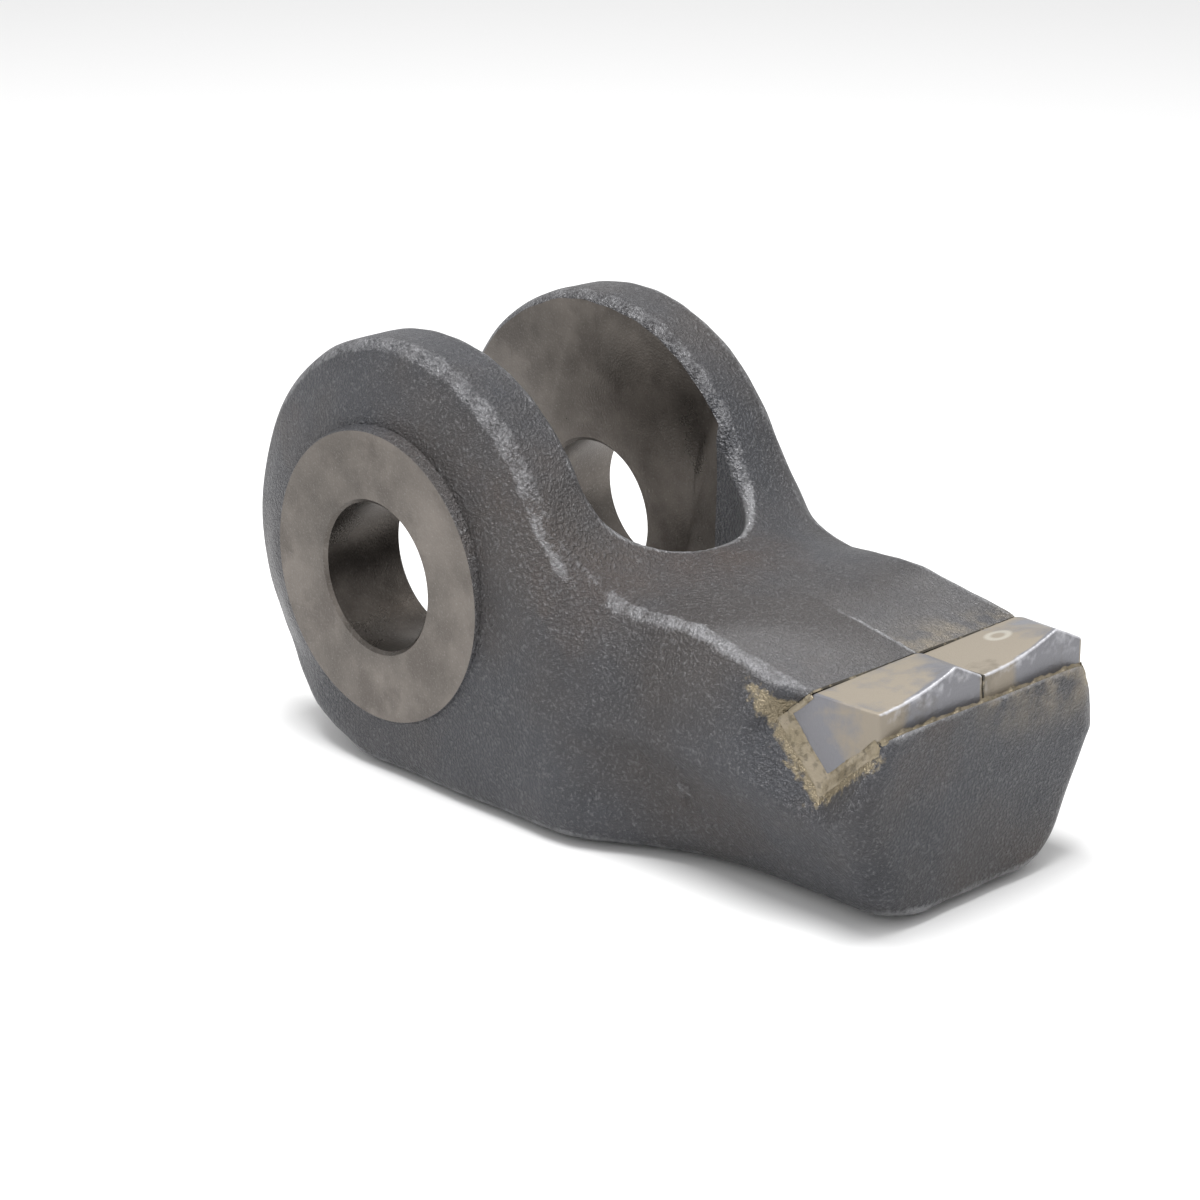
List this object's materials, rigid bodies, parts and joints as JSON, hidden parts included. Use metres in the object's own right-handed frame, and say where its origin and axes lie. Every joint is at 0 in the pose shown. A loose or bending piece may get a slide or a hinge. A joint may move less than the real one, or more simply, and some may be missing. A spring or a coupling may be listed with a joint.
{
  "type": "swing hammer",
  "caption": "Forged fork-type swing hammer with a pivot clevis and a wedge head that carries two brazed carbide tips.",
  "frame": {"origin": "middle of the pivot bore, halfway between the two ears", "axes": "+X from the pivot to the striking face, +Y along the pivot bore, +Z to the side that carries the carbide tips; the flat underside faces -Z"},
  "size_m": [0.169, 0.08, 0.089],
  "materials": {
    "forged_steel": "forged scale, satin",
    "tungsten_carbide": "pressed and sintered, satin",
    "silver_braze": "flowed, satin"
  },
  "bodies": {
    "root": {"hammer_forging": "forged_steel", "left_carbide_tip": "tungsten_carbide", "right_carbide_tip": "tungsten_carbide", "left_braze_bed": "silver_braze", "right_braze_bed": "silver_braze", "centre_braze_joint": "silver_braze", "front_braze_fillet": "silver_braze", "left_end_braze_fillet": "silver_braze", "right_end_braze_fillet": "silver_braze"}
  },
  "joints": []
}
